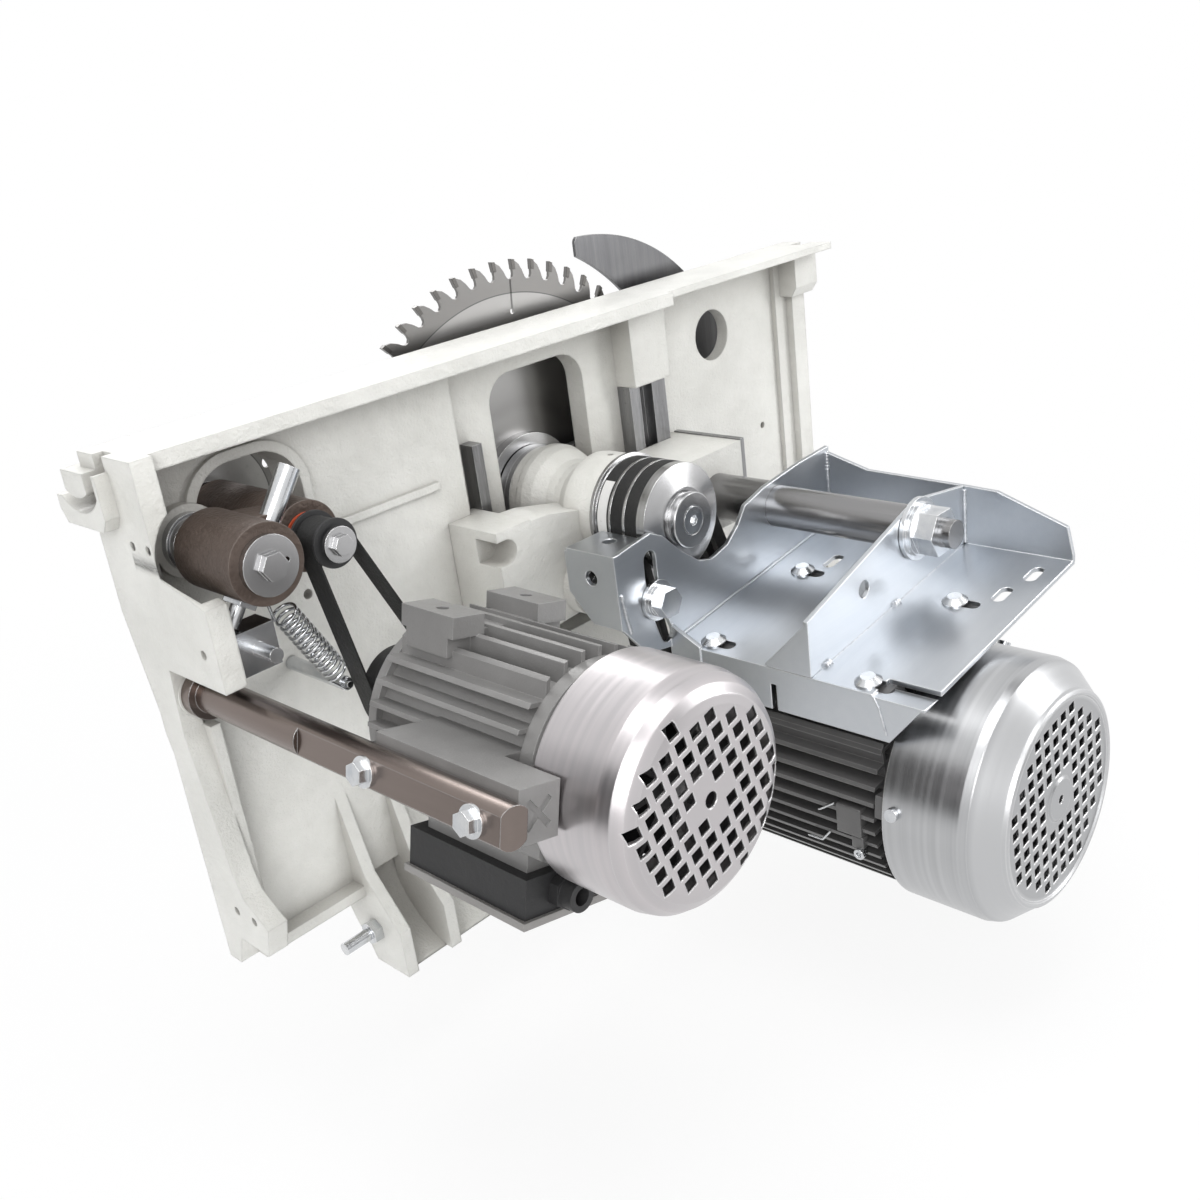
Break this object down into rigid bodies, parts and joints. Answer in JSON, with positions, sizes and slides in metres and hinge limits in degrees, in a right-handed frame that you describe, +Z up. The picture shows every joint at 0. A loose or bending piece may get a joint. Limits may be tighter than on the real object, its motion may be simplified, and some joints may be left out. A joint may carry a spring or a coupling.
{
  "type": "sliding table saw unit",
  "caption": "Saw unit of a sliding table saw: main blade on a rising carriage, belt drive, motor bracket, and a scoring blade with its own motor, on one tilting frame.",
  "frame": {"origin": "on the tilt axis, level with the frame's top face, straight over the main spindle's axis", "axes": "+X along the frame to the riving knife, +Y away from the motors to the blade side, +Z up"},
  "size_m": [0.61, 0.399, 0.396],
  "materials": {
    "frame_paint": "textured off-white paint",
    "machined_steel": "machined",
    "bright_steel": "turned bright",
    "zinc_plate": "zinc plated",
    "galvanised_sheet": "galvanised sheet",
    "blade_steel": "ground",
    "bar_steel": "ground, oiled",
    "motor_paint": "black paint",
    "score_motor_paint": "dark grey paint",
    "cover_alu": "satin",
    "belt_rubber": "matt",
    "arm_iron": "cast",
    "seal_red": "satin",
    "black_plastic": "matt",
    "lid_grey": "grey paint",
    "core_steel": "laminated core"
  },
  "bodies": {
    "frame": {"saw_frame": "frame_paint", "guide_rails": "machined_steel", "frame_studs": "zinc_plate", "pivot_shaft": "bright_steel", "pivot_rings": "bright_steel", "stop_block": "zinc_plate"},
    "scoring_arm": {"scoring_arm": "arm_iron", "arm_cap": "zinc_plate", "adjuster_screw": "zinc_plate", "scoring_bearings": "bright_steel", "bearing_seal": "seal_red", "scoring_belt": "belt_rubber", "tension_spring": "bright_steel"},
    "scoring_arbor": {"scoring_spindle": "bright_steel", "scoring_pulley": "black_plastic", "scoring_pulley_cap": "zinc_plate", "scoring_blade": "blade_steel", "scoring_flanges": "machined_steel", "scoring_nut": "zinc_plate"},
    "scoring_motor": {"scoring_bar": "bar_steel", "bar_bolts": "zinc_plate", "scoring_motor_housing": "score_motor_paint", "scoring_end_shields": "score_motor_paint", "scoring_fan_cover": "cover_alu", "terminal_box": "black_plastic", "terminal_lid": "lid_grey", "cable_gland": "black_plastic"},
    "scoring_rotor": {"scoring_rotor": "core_steel", "scoring_fan": "black_plastic", "scoring_motor_pulley": "black_plastic"},
    "carriage": {"carriage": "frame_paint", "gib_plate": "machined_steel", "spindle_bearings": "bright_steel", "bearing_ring": "machined_steel", "swing_bar": "bar_steel", "bar_nut_set": "zinc_plate", "tension_post": "bar_steel", "clamp_bolt": "zinc_plate", "knife_holder": "machined_steel", "knife_clamp": "zinc_plate", "drive_belts": "belt_rubber"},
    "arbor": {"saw_spindle": "bright_steel", "inner_flange": "machined_steel", "outer_flange": "machined_steel", "saw_blade": "blade_steel", "blade_nut": "zinc_plate", "drive_pulley": "bright_steel", "pulley_cap": "zinc_plate", "pulley_screw": "zinc_plate"},
    "knife": {"riving_knife": "blade_steel"},
    "motor_bracket": {"motor_bracket": "galvanised_sheet", "bracket_gusset": "galvanised_sheet", "foot_bolts": "zinc_plate", "motor_housing": "motor_paint", "end_shields": "motor_paint", "fan_cover": "cover_alu", "cover_screws": "zinc_plate"},
    "rotor": {"rotor": "core_steel", "fan": "black_plastic", "motor_pulley": "machined_steel"}
  },
  "joints": [
    {"name": "carriage_rise", "type": "slide", "parent": "frame", "child": "carriage", "axis": [0, 0, 1], "range_m": [-0.06, 0.035]},
    {"name": "arbor_spin", "type": "hinge", "parent": "carriage", "child": "arbor", "pos_m": [0, 0.025, -0.12], "axis": [0, 1, 0], "continuous": true},
    {"name": "bracket_swing", "type": "hinge", "parent": "carriage", "child": "motor_bracket", "pos_m": [0.09, -0.175, -0.14], "axis": [0, 1, 0], "range_deg": [-3, 1], "deforming": ["drive_belts"]},
    {"name": "motor_spin", "type": "hinge", "parent": "motor_bracket", "child": "rotor", "pos_m": [0.043, -0.175, -0.272], "axis": [0, 1, 0], "continuous": true},
    {"name": "knife_height", "type": "slide", "parent": "carriage", "child": "knife", "axis": [0, 0, 1], "range_m": [-0.006, 0.006]},
    {"name": "scoring_arm_pivot", "type": "hinge", "parent": "frame", "child": "scoring_arm", "pos_m": [-0.277, -0.055, -0.055], "axis": [0, 1, 0], "range_deg": [0, 4], "stiffness_Nm_per_rad": 5, "springref_deg": -11.46, "deforming": ["scoring_belt", "tension_spring"]},
    {"name": "scoring_spin", "type": "hinge", "parent": "scoring_arm", "child": "scoring_arbor", "pos_m": [-0.237, -0.035, -0.058], "axis": [0, 1, 0], "continuous": true},
    {"name": "scoring_motor_swing", "type": "hinge", "parent": "frame", "child": "scoring_motor", "pos_m": [-0.293, -0.175, -0.134], "axis": [0, 1, 0], "range_deg": [-2, 3], "deforming": ["scoring_belt"]},
    {"name": "scoring_motor_spin", "type": "hinge", "parent": "scoring_motor", "child": "scoring_rotor", "pos_m": [-0.206, -0.175, -0.156], "axis": [0, 1, 0], "continuous": true}
  ],
  "couplings": [
    {"joint": "arbor_spin", "follows": "motor_spin", "ratio": 1.4286},
    {"joint": "scoring_spin", "follows": "scoring_motor_spin", "ratio": 2.0417}
  ]
}
